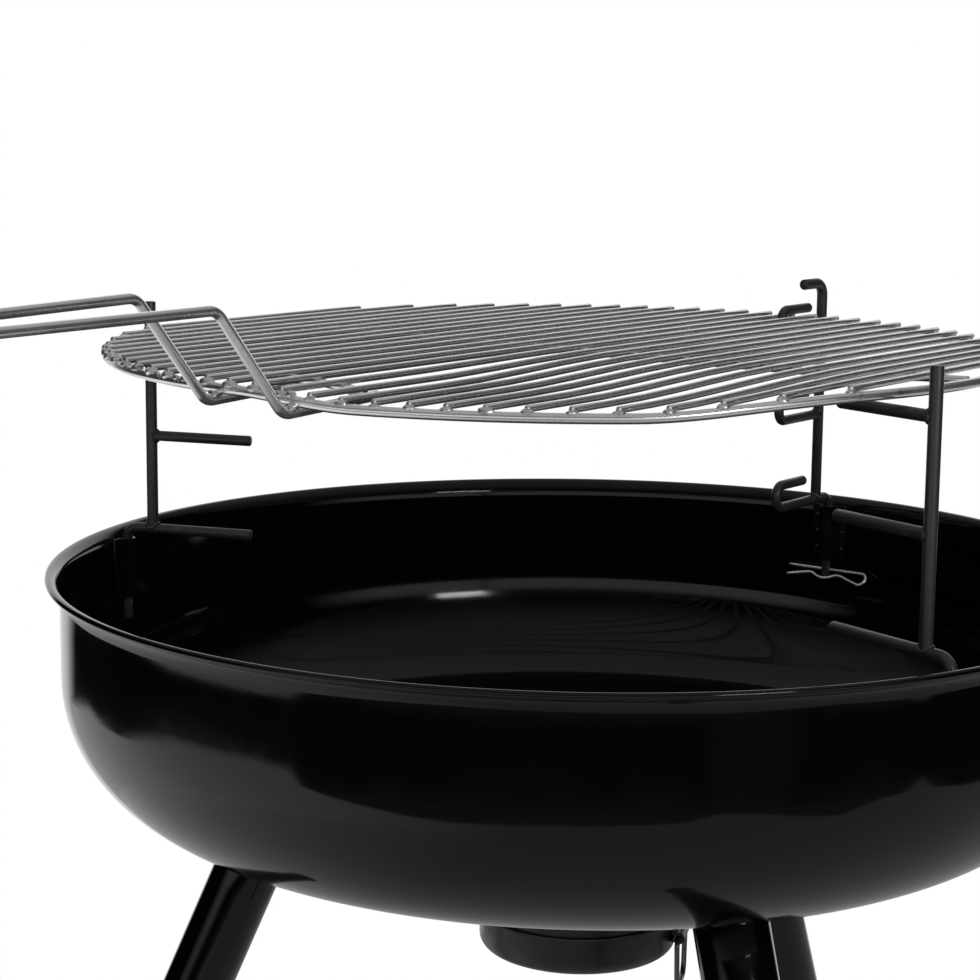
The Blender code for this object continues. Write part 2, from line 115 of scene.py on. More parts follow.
def mixColors(share, first, second):
    inputs = {"Factor": share, "A": first, "B": (*second, 1)}
    return addNode(share.id_data, "ShaderNodeMix", inputs, data_type="RGBA").outputs["Result"]


def combine(first, second, how="ADD"):
    return addNode(first.id_data, "ShaderNodeMath", {0: first, 1: second}, operation=how).outputs["Value"]


def addBump(height, distance, strength, under=None):
    inputs = {"Height": height, "Distance": distance, "Strength": strength}
    if under is not None:
        inputs["Normal"] = under
    return addNode(height.id_data, "ShaderNodeBump", inputs).outputs["Normal"]


def startMaterial(name, metallic, ior=1.5):
    material = bpy.data.materials.new(name)
    material.use_nodes = True
    shader = material.node_tree.nodes["Principled BSDF"]
    shader.inputs["Metallic"].default_value = metallic
    shader.inputs["IOR"].default_value = ior
    return material, material.node_tree, shader


enamelLook = {
    "dark": (0.0005, 0.0005, 0.0005),
    "light": (0.0016, 0.0016, 0.0017),
    "clouds": (5, 6),
    "speck": (0.016, 0.016, 0.016),
    "specks": (210, 0.16),     # how many and how wide
    "speckFields": (14, 3),
    "speckEdge": (0.45, 0.62),
    "ior": 1.36,
    "shine": (9, 7, 0.65),
    "shineEdge": (0.35, 0.75),
    "roughness": (0.045, 0.13),
    # slow waves of the pressed sheet, seen in its reflections, then orange peel
    "bumps": [(6, 0, 0.0010, 0.5), (190, 1, 0.00002, 0.3)],
}


def addShine(tree, shader, look):
    # Uneven gloss, and bumps laid one on another
    gloss = spread(grain(tree, *look["shine"]), look["shineEdge"], look["roughness"])
    join(gloss, shader.inputs["Roughness"])
    normal = None
    for scale, detail, distance, strength in look["bumps"]:
        normal = addBump(grain(tree, scale, detail), distance, strength, normal)
    join(normal, shader.inputs["Normal"])


def makeEnamel():
    material, tree, shader = startMaterial("blackEnamel", 0.0, enamelLook["ior"])
    cloudy = twoColors(grain(tree, *enamelLook["clouds"]), enamelLook["dark"], enamelLook["light"])
    fields = grain(tree, *enamelLook["speckFields"])
    dusty = combine(spots(tree, *enamelLook["specks"]), fields, "MULTIPLY")
    dusty = spread(dusty, enamelLook["speckEdge"])
    join(mixColors(dusty, cloudy, enamelLook["speck"]), shader.inputs["Base Color"])
    addShine(tree, shader, enamelLook)
    return material


# In the looks below, clouds, patches and shine each hold a noise's scale, detail and roughness.
# A bump holds scale, detail, distance and strength.
satinLook = {
    "metal": 0.0,
    "dark": (0.008, 0.008, 0.0082),
    "light": (0.020, 0.020, 0.0204),
    "clouds": (22, 5),
    "patch": (0.065, 0.065, 0.066),  # where the paint is rubbed
    "patches": (75, 6, 0.7),
    "patchEdge": (0.60, 0.72),
    "patchShare": 0.7,
    "shine": (60, 5),
    "shineEdge": (0.3, 0.7),
    "roughness": (0.30, 0.46),
    "bumps": [(900, 2, 0.00003, 0.5), (150, 2, 0.0002, 0.3)],
}
potLook = {
    **satinLook,
    "dark": (0.0020, 0.0020, 0.0020),
    "light": (0.0060, 0.0060, 0.0061),
    "patch": (0.022, 0.022, 0.0223),
    "roughness": (0.28, 0.44),
}
strapLook = {
    **satinLook,
    "dark": (0.0010, 0.0010, 0.0010),
    "light": (0.0028, 0.0028, 0.0029),
    "patch": (0.012, 0.012, 0.012),
    "roughness": (0.10, 0.22),
    "bumps": [(900, 2, 0.00002, 0.5), (150, 2, 0.0002, 0.3)],
}
chromeLook = {
    "metal": 0.93,  # a film of dust and grease takes the rest
    "dark": (0.60, 0.60, 0.605),
    "light": (0.88, 0.88, 0.885),
    "clouds": (34, 6, 0.6),
    "patch": (0.14, 0.14, 0.135),  # stains
    "patches": (90, 6, 0.6),
    "patchEdge": (0.66, 0.78),
    "patchShare": 0.6,
    "shine": (85, 6, 0.6),
    "shineEdge": (0.3, 0.72),
    "roughness": (0.16, 0.30),
    "bumps": [(800, 3, 0.00002, 0.4), (240, 3, 0.00004, 0.5)],  # marks from drawing, then lumps
}
pullLook = {
    **chromeLook,
    "dark": (0.06, 0.06, 0.06),
    "light": (0.14, 0.14, 0.14),
    "roughness": (0.25, 0.42),
}
weldLook = {
    **chromeLook,
    "dark": (0.42, 0.42, 0.42),
    "light": (0.78, 0.78, 0.78),
    "roughness": (0.18, 0.38),
    "bumps": [(800, 3, 0.00002, 0.4), (240, 3, 0.0005, 0.5)],
}
zincLook = {
    "metal": 1.0,
    "dark": (0.30, 0.30, 0.31),
    "light": (0.55, 0.55, 0.56),
    "clouds": (180, 5),
    "shine": (300, 4),
    "shineEdge": (0.3, 0.7),
    "roughness": (0.28, 0.5),
    "bumps": [(700, 3, 0.00008, 0.5)],
}
rubberLook = {
    "metal": 0.0,
    "dark": (0.011, 0.011, 0.011),
    "light": (0.045, 0.044, 0.042),
    "clouds": (45, 6, 0.65),
    "shine": (90, 4),
    "shineEdge": (0.3, 0.7),
    "roughness": (0.55, 0.8),
    "bumps": [(620, 3, 0.0002, 0.4)],
}


def makeFinish(name, look):
    # Cloudy colour, with rubbed or stained patches where the look has them
    material, tree, shader = startMaterial(name, look["metal"])
    color = twoColors(grain(tree, *look["clouds"]), look["dark"], look["light"])
    if "patch" in look:
        share = spread(grain(tree, *look["patches"]), look["patchEdge"], (0.0, look["patchShare"]))
        color = mixColors(share, color, look["patch"])
    join(color, shader.inputs["Base Color"])
    addShine(tree, shader, look)
    return material


# Each finish: the material and the record's slot that it belongs to
finishes = {
    "enamel": (makeEnamel(), "black_enamel"),
    "satin": (makeFinish("satinBlackPaint", satinLook), "satin_black"),
    "pot": (makeFinish("blackPotPaint", potLook), "satin_black"),
    "strap": (makeFinish("blackStrapPaint", strapLook), "satin_black"),
    "chrome": (makeFinish("chromedWire", chromeLook), "chromed_wire"),
    "pull": (makeFinish("darkPullWire", pullLook), "chromed_wire"),
    "weld": (makeFinish("chromedWeld", weldLook), "chromed_wire"),
    "zinc": (makeFinish("zincPlate", zincLook), "zinc_bolt"),
    "rubber": (makeFinish("footRubber", rubberLook), "foot_rubber"),
}
print("finishes ready:", ", ".join(finishes))


# Making meshes

def loft(rings, loop=False):
    # Skins each ring of points to the next; a ring of one point closes the skin
    points = []
    starts = []
    for ring in rings:
        starts.append(len(points))
        points.extend(ring)
    faces = []
    pairs = [(low, low + 1) for low in range(len(rings) - 1)]
    if loop:
        pairs.append((len(rings) - 1, 0))
    for low, high in pairs:
        a, b = starts[low], starts[high]
        lowCount, highCount = len(rings[low]), len(rings[high])
        count = max(lowCount, highCount)
        for index in range(count):
            after = (index + 1) % count
            if lowCount == 1:
                faces.append((a, b + after, b + index))
            elif highCount == 1:
                faces.append((a + index, a + after, b))
            else:
                faces.append((a + index, a + after, b + after, b + index))
    return points, faces


def joinShells(shells):
    # Several closed skins in one mesh
    points = []
    faces = []
    for shellPoints, shellFaces in shells:
        first = len(points)
        points.extend(shellPoints)
        faces.extend(tuple(first + index for index in face) for face in shellFaces)
    return points, faces


def newObject(name, shell):
    mesh = bpy.data.meshes.new(name)
    mesh.from_pydata([tuple(point) for point in shell[0]], [], shell[1])
    made = bpy.data.objects.new(name, mesh)
    bpy.context.scene.collection.objects.link(made)
    return made


def smoothShade(piece, crease):
    piece.data.shade_smooth()
    piece.data.set_sharp_from_angle(angle=math.radians(crease))


def addPiece(name, shell, body, finish, nodes=(), crease=35):
    piece = newObject(name, shell)
    material, slot = finishes[finish]
    piece.data.materials.append(material)
    smoothShade(piece, crease)
    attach(piece, body)
    if nodes:
        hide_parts(*nodes)
    return piece


def arc(centre, radius, start, end, count):
    # Points of a circle's arc in a plane, the angles in degrees
    points = []
    for step in range(count + 1):
        angle = math.radians(start + (end - start) * step / count)
        points.append((centre[0] + radius * math.cos(angle), centre[1] + radius * math.sin(angle)))
    return points


def turnSection(section, steps, place):
    # Turns (radius, height) points about an axis; place maps (radius, angle, height) to the scene
    rings = []
    for radius, height in section:
        if radius < 1e-6:
            rings.append([place(0.0, 0.0, height)])
        else:
            rings.append([place(radius, math.tau * step / steps, height) for step in range(steps)])
    return rings


def aboutBowlAxis(radius, angle, height):
    return Vector((radius * math.cos(angle), axisY + radius * math.sin(angle), rimHeight + height))


def aboutLine(origin, way):
    # Turns about any line: height is measured along it from its origin
    way = way.normalized()
    across = way.orthogonal().normalized()
    third = way.cross(across)

    def place(radius, angle, height):
        spoke = across * math.cos(angle) + third * math.sin(angle)
        return origin + way * height + spoke * radius

    return place


def bendWire(corners, bends, steps=8):
    # A wire's centre line through its corners, each corner bent to its own radius
    path = [Vector(corners[0])]
    for before, corner, after, radius in zip(corners, corners[1:], corners[2:], bends):
        corner = Vector(corner)
        back = (Vector(before) - corner).normalized()
        ahead = (Vector(after) - corner).normalized()
        half = back.angle(ahead) / 2
        centre = corner + (back + ahead).normalized() * (radius / math.sin(half))
        reach = radius / math.tan(half)
        first = corner + back * reach - centre
        last = corner + ahead * reach - centre
        for step in range(steps + 1):
            path.append(centre + first.slerp(last, step / steps).normalized() * radius)
    path.append(Vector(corners[-1]))
    return path


def smoothWire(points, steps):
    # A smooth line through all of the points
    padded = [points[0] * 2 - points[1]] + points + [points[-1] * 2 - points[-2]]
    path = []
    for p0, p1, p2, p3 in zip(padded, padded[1:], padded[2:], padded[3:]):
        for step in range(steps):
            t = step / steps
            path.append(
                (p1 * 2 + (p2 - p0) * t + (p0 * 2 - p1 * 5 + p2 * 4 - p3) * t**2
                 + (p1 * 3 - p0 - p2 * 3 + p3) * t**3) / 2
            )
    path.append(points[-1])
    return path


def sweepWire(path, radius, sides=16, closed=False):
    # A round wire along a path, its ends square with a small rounded edge
    count = len(path)
    radii = radius if isinstance(radius, list) else [radius] * count
    ways = []
    for index in range(count):
        before = path[index - 1] if closed or index else path[index]
        after = path[(index + 1) % count] if closed or index < count - 1 else path[index]
        ways.append((after - before).normalized())
    side = ways[0].orthogonal().normalized()
    rings = []
    for place, way, size in zip(path, ways, radii):
        side = (side - way * side.dot(way)).normalized()
        third = way.cross(side)
        ring = []
        for step in range(sides):
            angle = math.tau * step / sides
            ring.append(place + (side * math.cos(angle) + third * math.sin(angle)) * size)
        rings.append(ring)
    if closed:
        return loft(rings, loop=True)
    return loft(wireEnd(rings[0], path[0], ways[0], radii[0]) + rings[1:-1]
                + wireEnd(rings[-1], path[-1], -ways[-1], radii[-1])[::-1])


def wireEnd(ring, centre, inward, radius):
    edge = radius * 0.22
    rings = [[centre]]
    for share, depth in ((0.78, 0.0), (0.93, 0.3), (1.0, 1.0)):
        rings.append([centre + (point - centre) * share + inward * (edge * depth) for point in ring])
    return rings


def lumpyBead(path, radius, ripple=0.22, sides=10, closed=True):
    # A weld bead: a wire whose thickness swells and shrinks as it was laid
    radii = []
    for index, place in enumerate(path):
        swell = noise.noise(place * 420) * 0.9 + math.sin(index * 1.9) * 0.35
        radii.append(radius * (1 + ripple * swell))
    return sweepWire(path, radii, sides, closed)


def nugget(centre, across, along, up, rows=7, columns=12):
    # A small melted lump with three half sizes, a little uneven
    rings = []
    for row in range(rows + 1):
        lift = math.pi * row / rows
        ring = []
        for column in range(columns if 0 < row < rows else 1):
            angle = math.tau * column / columns
            flat = across * (math.sin(lift) * math.cos(angle)) + along * (math.sin(lift) * math.sin(angle))
            point = flat + up * math.cos(lift)
            ring.append(centre + point * (1 + 0.16 * noise.noise((centre + point) * 700)))
        rings.append(ring)
    return loft(rings)


# Bowl: one pressed and enamelled sheet

bowlSize = {
    "bead": 0.00175,      # rolled edge
    "wallR": 0.2825,
    "flare": 0.0080,      # height of the curve that carries the wall out to the edge
    "sheet": 0.0012,
    "wallEnd": -0.0544,
    "cornerR": 0.0768,
    "cornerTurn": 68.5,
    "ashHoleR": 0.006,
    "ashHoleCircle": 0.030,
    "ashHoles": 6,
    "wallRings": (-0.020, -0.032, -0.044),
    "cornerSteps": 22,
    "domeSteps": 26,
    "steps": 224,
}
cornerCos = math.cos(math.radians(bowlSize["cornerTurn"]))
cornerSin = math.sin(math.radians(bowlSize["cornerTurn"]))
domeR = (bowlSize["wallR"] - bowlSize["cornerR"]) / cornerCos + bowlSize["cornerR"]
domeZ = bowlSize["wallEnd"] + (domeR - bowlSize["cornerR"]) * cornerSin
domeCentre = Vector((0, axisY, rimHeight + domeZ))


def bowlSkin(grow):
    # Wall, corner and bottom in section, from the top down
    turn = bowlSize["cornerTurn"]
    cornerCentre = (bowlSize["wallR"] - bowlSize["cornerR"], bowlSize["wallEnd"])
    section = [(bowlSize["wallR"] + grow, height) for height in bowlSize["wallRings"]]
    section += arc(cornerCentre, bowlSize["cornerR"] + grow, 0, -turn, bowlSize["cornerSteps"])
    section += arc((0, domeZ), domeR + grow, -turn, -90, bowlSize["domeSteps"])[1:]
    section[-1] = (0.0, domeZ - domeR - grow)
    return section


def bowlSection():
    bead = bowlSize["bead"]
    flareX = rimR - bead - bowlSize["wallR"]
    flareZ = -2 * bead - bowlSize["flare"]
    sheet = bowlSize["sheet"]
    outer = []
    inner = []
    for step in range(9):
        angle = math.pi / 2 * step / 8
        outer.append((bowlSize["wallR"] + flareX - flareX * math.sin(angle),
                      flareZ + bowlSize["flare"] * math.cos(angle)))
        inner.append((bowlSize["wallR"] + flareX - (flareX + sheet) * math.cos(angle),
                      flareZ + (bowlSize["flare"] + 2 * bead) * math.sin(angle)))
    roll = arc((rimR - bead, -bead), bead, 90, -90, 12)
    return bowlSkin(-sheet)[::-1] + inner[:-1] + roll + outer[1:] + bowlSkin(0.0)


def drillBowl(piece, centre, way, radius, half=0.015):
    # One round hole through the sheet
    place = aboutLine(centre - way * half, way)
    section = [(0.0, 0.0), (radius, 0.0), (radius, 2 * half), (0.0, 2 * half)]
    drill = newObject("drill", loft(turnSection(section, 28, place)))
    step = piece.modifiers.new("hole", "BOOLEAN")
    step.operation = "DIFFERENCE"
    step.solver = "EXACT"
    step.object = drill
    bpy.context.view_layer.update()
    seen = piece.evaluated_get(bpy.context.evaluated_depsgraph_get())
    cut = bpy.data.meshes.new_from_object(seen)
    piece.modifiers.clear()
    piece.data = cut
    bpy.data.objects.remove(drill, do_unlink=True)


def makeBowl():
    rings = turnSection(bowlSection(), bowlSize["steps"], aboutBowlAxis)
    piece = addPiece("bowlSheet", loft(rings), "stand", "enamel", ["bowl"])
    bottom = Vector((0, axisY, rimHeight + domeZ - domeR))
    centres = [bottom]
    for index in range(bowlSize["ashHoles"]):
        centres.append(bottom + around(360 * index / bowlSize["ashHoles"]) * bowlSize["ashHoleCircle"])
    for centre in centres:
        drillBowl(piece, centre, -upright, bowlSize["ashHoleR"])
    for azimuth in legAzimuths.values():
        skin, way = boltLine(azimuth)
        drillBowl(piece, skin, way, boltSize["shankR"] + weldGap)
    smoothShade(piece, 35)


# Legs: splayed tubes cut to the bowl's bottom, each with a bolt from inside and a rubber foot

legAzimuths = {"left": -60, "right": 60, "back": 180}
legSize = {
    "tubeR": 0.019,
    "wall": 0.0015,
    "splay": 23.0,
    "topAway": 0.174,
    "topHeight": -0.150,
    "plug": 0.026,       # how thick the welded plug at the tube's top is
    "endHeight": 0.018,
    "edge": 0.0005,
    "steps": 64,
}
footSize = {
    "capR": 0.02145,
    "overlap": 0.030,
    "grooves": 3,
    "grooveDeep": 0.0006,
    "firstGroove": 0.006,
    "groovePitch": 0.0055,
    # half width and depth share of a groove's outline, from its upper edge to its lower
    "groove": [(-0.0012, 0.0), (-0.0005, 1.0), (0.0005, 1.0), (0.0012, 0.0)],
}
boltSize = {
    "shankR": 0.004,
    "length": 0.019,
    "flangeR": 0.009,
    "hexR": 0.0075,
    "hexHeight": 0.0062,
    "seat": 0.0008,
    "pitch": 0.00125,
    "threadDeep": 0.0005,
    "steps": 48,
}


def legLine(azimuth):
    # The tube's axis: the point where it meets the bowl and the way it runs down
    splay = math.radians(legSize["splay"])
    way = around(azimuth) * math.sin(splay) - Vector((0, 0, math.cos(splay)))
    return fromAxis(azimuth, legSize["topAway"], legSize["topHeight"]), way


def boltLine(azimuth):
    # The bolt stands square to the bowl's bottom at the leg
    lean = math.asin(legSize["topAway"] / domeR)
    way = around(azimuth) * math.sin(lean) - Vector((0, 0, math.cos(lean)))
    return domeCentre + way * domeR, way


def legSpot(azimuth, radius, angle):
    # A point of the leg's cross-section through its top
    seat, way = legLine(azimuth)
    across = around(azimuth + 90)
    spoke = across * math.cos(angle) + way.cross(across) * math.sin(angle)
    return seat + spoke * radius, way


def downToBowl(azimuth, radius, angle, sink=0.0):
    # Slides a point along the tube until it touches the bowl's round bottom
    point, way = legSpot(azimuth, radius, angle)
    offset = point - domeCentre
    reach = way.dot(offset)
    gone = -reach + math.sqrt(reach**2 - offset.length_squared + (domeR + weldGap) ** 2)
    return point + way * (gone + sink)


def downToFloor(azimuth, radius, angle):
    point, way = legSpot(azimuth, radius, angle)
    return point - way * (point.z / way.z)


def legLength():
    drop = rimHeight + legSize["topHeight"] - legSize["endHeight"]
    return drop / math.cos(math.radians(legSize["splay"]))


def ringOf(steps, spot):
    return [spot(math.tau * step / steps) for step in range(steps)]


def tubeRing(azimuth, radius, along):
    # A ring about the tube's axis and square to it
    def spot(angle):
        point, way = legSpot(azimuth, radius, angle)
        return point + way * along
    return ringOf(legSize["steps"], spot)


def makeLeg(side, azimuth):
    tube = legSize["tubeR"]
    bore = tube - legSize["wall"]
    plug = legSize["plug"]
    edge = legSize["edge"]
    length = legLength()
    tops = [(tube * share, 0.0) for share in (0.35, 0.7, 0.94)]
    tops += [(tube - edge * 0.3, edge * 0.3), (tube, edge)]
    rings = [[downToBowl(azimuth, 0.0, 0.0)]]
    for radius, sink in tops:
        rings.append(ringOf(legSize["steps"], lambda angle: downToBowl(azimuth, radius, angle, sink)))
    outline = [(tube, length * share) for share in (0.1, 0.35, 0.65, 0.95)]
    outline += [(tube, length - edge), (tube - edge, length)]
    outline += [(bore + edge, length), (bore, length - edge), (bore, plug)]
    rings += [tubeRing(azimuth, radius, along) for radius, along in outline]
    seat, way = legLine(azimuth)
    rings.append([seat + way * plug])
    addPiece(f"legTube.{side}", loft(rings), "stand", "enamel", [f"leg_{side}"], 50)


def makeFoot(side, azimuth):
    # A rubber cap with moulded grooves, cut level where it stands on the ground
    capR = footSize["capR"]
    pocket = legSize["tubeR"] + weldGap
    length = legLength()
    top = length - footSize["overlap"]
    outline = [(pocket, length + weldGap), (pocket, top + 0.0004), (pocket + softEdge, top)]
    outline += [(capR - 0.0008, top), (capR - 0.0002, top + softEdge), (capR, top + 0.001)]
    for index in range(footSize["grooves"]):
        middle = top + footSize["firstGroove"] + index * footSize["groovePitch"]
        for shift, share in footSize["groove"]:
            outline.append((capR - footSize["grooveDeep"] * share, middle + shift))
    seat, way = legLine(azimuth)
    rings = [[seat + way * (length + weldGap)]]
    rings += [tubeRing(azimuth, radius, along) for radius, along in outline]
    for radius, lift in ((capR, 0.0022), (capR - 0.0004, 0.0009), (capR - 0.0018, 0.0)):
        sole = ringOf(legSize["steps"], lambda angle: downToFloor(azimuth, radius, angle))
        rings.append([point + upright * lift for point in sole])
    rings.append([downToFloor(azimuth, 0.0, 0.0)])
    addPiece(f"rubberFoot.{side}", loft(rings), "stand", "rubber", [f"foot_cap_{side}"], 50)


def makeBolt(side, azimuth):
    # Hexagon head with a turned chamfer, its flange and the threaded shank
    skin, way = boltLine(azimuth)
    place = aboutLine(skin - way * (bowlSize["sheet"] + boltSize["seat"]), -way)
    across = boltSize["hexR"] * math.cos(math.pi / 6)
    flange = boltSize["flangeR"]
    shank = boltSize["shankR"]
    tall = boltSize["hexHeight"]
    end = -boltSize["length"]
    pitch = boltSize["pitch"]

    def hexRing(limit, height):
        # The flats stand at across from the axis; the corners are turned down to the limit
        def spot(angle):
            flat = (angle % (math.pi / 3)) - math.pi / 6
            return place(min(across / math.cos(flat), limit), angle, height)
        return ringOf(boltSize["steps"], spot)

    def roundRings(*outline):
        return turnSection(outline, boltSize["steps"], place)

    rings = roundRings((0.0, tall - 0.0003), (across * 0.55, tall - 0.0003))
    rings += roundRings((across * 0.7, tall), (across * 0.93, tall))
    rings += [hexRing(across * 1.07, tall - 0.0006), hexRing(1.0, tall - 0.0012), hexRing(1.0, 0.0024)]
    rings += roundRings((flange * 0.9, 0.0019), (flange, 0.0013), (flange, softEdge))
    rings += roundRings((flange - softEdge, 0.0), (shank, 0.0))
    for index in range(int((boltSize["length"] - 0.004) / pitch)):
        along = -0.003 - index * pitch
        rings += roundRings((shank, along), (shank - boltSize["threadDeep"], along - pitch / 2))
    rings += roundRings((shank - 0.0007, end), (0.0, end))
    addPiece(f"legBolt.{side}", loft(rings), "stand", "zinc", [f"leg_bolt_{side}"], 30)


def makeStand():
    makeBowl()
    for side, azimuth in legAzimuths.items():
        makeLeg(side, azimuth)
        makeFoot(side, azimuth)
        makeBolt(side, azimuth)
    makeCollar()


# Ash collar under the bowl and the pot that hangs on it

collarSize = {"outerR": 0.0534, "middle": -0.190, "end": -0.2065, "weldR": 0.0010}
potSize = {
    "outerR": 0.055,
    "top": -0.196,
    "bottom": -0.218,
    "corner": 0.007,
    "rollR": 0.0006,
    # the raised ring pressed into the bottom: radius and rise
    "ring": [(0.037, 0.0), (0.0355, 0.0007), (0.033, 0.0011), (0.030, 0.0011), (0.0275, 0.0011)],
}
pullSize = {
    "azimuth": 114,
    "height": -0.207,
    "wireR": 0.0015,
    "wide": 0.032,
    "drop": 0.028,
    "knuckleR": 0.0034,
    "knuckleLong": 0.020,
    "bends": [0.003, 0.008, 0.008, 0.003],
    "weldR": 0.0009,
    "weldApart": 0.0021,
}


def makeCollar():
    outer = collarSize["outerR"]
    inner = outer - bowlSize["sheet"]
    middle = collarSize["middle"]
    end = collarSize["end"]

    def onBottom(radius):
        return domeZ - math.sqrt((domeR + weldGap) ** 2 - radius**2)

    section = [(outer, onBottom(outer)), (outer, middle), (outer, end + softEdge), (outer - softEdge, end)]
    section += [(inner + softEdge, end), (inner, end + softEdge), (inner, middle), (inner, onBottom(inner))]
    rings = turnSection(section, 128, aboutBowlAxis)
    addPiece("ashCollar", loft(rings, loop=True), "stand", "pot", ["ash_collar"])
    beadR = outer + 0.0004
    beadZ = onBottom(outer) - 0.0004
    bead = ringOf(160, lambda angle: aboutBowlAxis(beadR, angle, beadZ))
    addPiece("collarWeld", lumpyBead(bead, collarSize["weldR"], 0.18), "stand", "pot")


def makePot():
    # A pressed tin with a rolled edge, a rounded corner and a raised ring in its bottom
    outer = potSize["outerR"]
    sheet = bowlSize["sheet"]
    corner = potSize["corner"]
    top = potSize["top"]
    bottom = potSize["bottom"]
    roll = potSize["rollR"]
    ring = potSize["ring"]
    rise = ring[-1][1]
    section = [(0.0, bottom + sheet + rise)]
    section += [(radius, bottom + sheet + lift) for radius, lift in ring[::-1]]
    section += arc((outer - corner, bottom + corner), corner - sheet, -90, 0, 8)
    section += [(outer - sheet, top - 0.004), (outer - sheet, top - 0.0005)]
    section += arc((outer - roll, top - roll), roll, 150, 0, 5)
    section += [(outer, top - 0.002), (outer, top - 0.008)]
    section += arc((outer - corner, bottom + corner), corner, 0, -90, 10)
    section += [(radius, bottom + lift) for radius, lift in ring]
    section.append((0.0, bottom + rise))
    addPiece("ashPot", loft(turnSection(section, 144, aboutBowlAxis)), "ash_pot", "pot", ["ash_pot"])


def makePull():
    azimuth = pullSize["azimuth"]
    away = potSize["outerR"] + weldGap + pullSize["knuckleR"]
    half = pullSize["knuckleLong"] / 2

    def spot(aside, drop):
        return fromAxis(azimuth, away, pullSize["height"] + drop, aside)

    place = aboutLine(spot(0.0, 0.0), spot(1.0, 0.0) - spot(0.0, 0.0))
    outer = pullSize["knuckleR"]
    bore = pullSize["wireR"] + weldGap
    section = [(outer, half - softEdge), (outer - softEdge, half), (bore, half), (bore, -half)]
    section += [(outer - softEdge, -half), (outer, softEdge - half)]
    rings = turnSection(section, 32, place)
    addPiece("pullKnuckle", loft(rings, loop=True), "ash_pot", "pot", ["ash_pot_knuckle"])
    beads = []
    for apart in (pullSize["weldApart"], -pullSize["weldApart"]):
        height = pullSize["height"] + apart
        wall = potSize["outerR"] + 0.0004
        line = [fromAxis(azimuth, wall, height, half * step / 10) for step in range(-9, 10)]
        beads.append(lumpyBead(line, pullSize["weldR"], 0.25, 8, closed=False))
    addPiece("knuckleWeld", joinShells(beads), "ash_pot", "pot")
    wide = pullSize["wide"] / 2
    low = wide * 0.8
    drop = -pullSize["drop"]
    corners = [spot(0, 0), spot(wide, 0), spot(low, drop), spot(-low, drop), spot(-wide, 0), spot(0, 0)]
    path = bendWire(corners, pullSize["bends"], 10)[:-1]
    ring = sweepWire(path, pullSize["wireR"], 14, closed=True)
    addPiece("pullRing", ring, "pull_ring", "pull", ["ash_pull_ring"])


# Grate supports: rods that stand in sockets on the bowl's wall

supportSize = {
    "sideAzimuth": 71.4,
    "postR": 0.00325,
    "armR": 0.003,
    "postAway": 0.260,
    "pegAway": 0.277,
    "pegEnd": -0.053,
    "levels": {"low": 0.0015, "middle": 0.056, "top": 0.110},
    "sidePostTop": 0.1334,
    "backPostTop": 0.1385,
    "backStubAway": 0.236,
    "armTipAway": 0.198,
    "hookAway": 0.210,
    "hookTipAway": 0.243,
    "hookRise": 0.014,
    "hookBend": 0.006,
    "bend": 0.008,
    "footWeldR": 0.0010,
    "sideWeldR": 0.0009,
    "rodSides": 24,
}
socketSize = {
    "top": -0.005,
    "bottom": -0.040,
    "sheet": 0.0012,
    "innerR": 0.0037,
    "flange": 0.0115,
    "backAway": 0.2802,
    "bend": 0.0008,
    "spotHeights": (-0.012, -0.0225, -0.033),
    "spotAside": 0.0088,
    "spotR": 0.0017,
    "spotRise": 0.0006,
}
armR = supportSize["armR"]
postR = supportSize["postR"]
postAway = supportSize["postAway"]
pegAway = supportSize["pegAway"]
levels = supportSize["levels"]


def bulge(radius, aside):
    # How far a round rod stands out at this distance from its middle
    return math.sqrt(max(radius**2 - aside**2, 0.0))


def bentRod(azimuth, line, bends, radius):
    # A rod bent in the upright plane of its support
    corners = [fromAxis(azimuth, away, height) for away, height in line]
    return sweepWire(bendWire(corners, bends, 12), radius, supportSize["rodSides"])


def postOnArm(azimuth, top):
    # The post's foot is notched over the round arm that it stands on
    foot = levels["low"]

    def ring(size, height, notched=False):
        def spot(angle):
            aside = size * math.sin(angle)
            lift = bulge(armR, aside) if notched else 0.0
            return fromAxis(azimuth, postAway + size * math.cos(angle), height + lift, aside)
        return ringOf(supportSize["rodSides"], spot)

    rings = [[fromAxis(azimuth, postAway, foot + armR)]]
    rings += [ring(postR * 0.5, foot, True), ring(postR, foot, True)]
    rings += [ring(postR, 0.02), ring(postR, top - 0.0008), ring(postR * 0.93, top - 0.0002)]
    rings += [ring(postR * 0.8, top), [fromAxis(azimuth, postAway, top)]]
    return loft(rings)


def footWeld(azimuth):
    # The bead round the notched foot of a post
    radius = postR + 0.0002

    def spot(angle):
        aside = radius * math.sin(angle)
        height = levels["low"] + max(bulge(armR + 0.0003, aside), 0.0009)
        return fromAxis(azimuth, postAway + radius * math.cos(angle), height, aside)

    return lumpyBead(ringOf(36, spot), supportSize["footWeldR"])


def sideWeld(azimuth, level):
    # The bead where an arm butts against the side of a post
    radius = armR + 0.0001

    def spot(angle):
        aside = radius * math.cos(angle)
        away = postAway - bulge(postR, aside) - 0.0004
        return fromAxis(azimuth, away, level + radius * math.sin(angle), aside)

    return lumpyBead(ringOf(32, spot), supportSize["sideWeldR"])


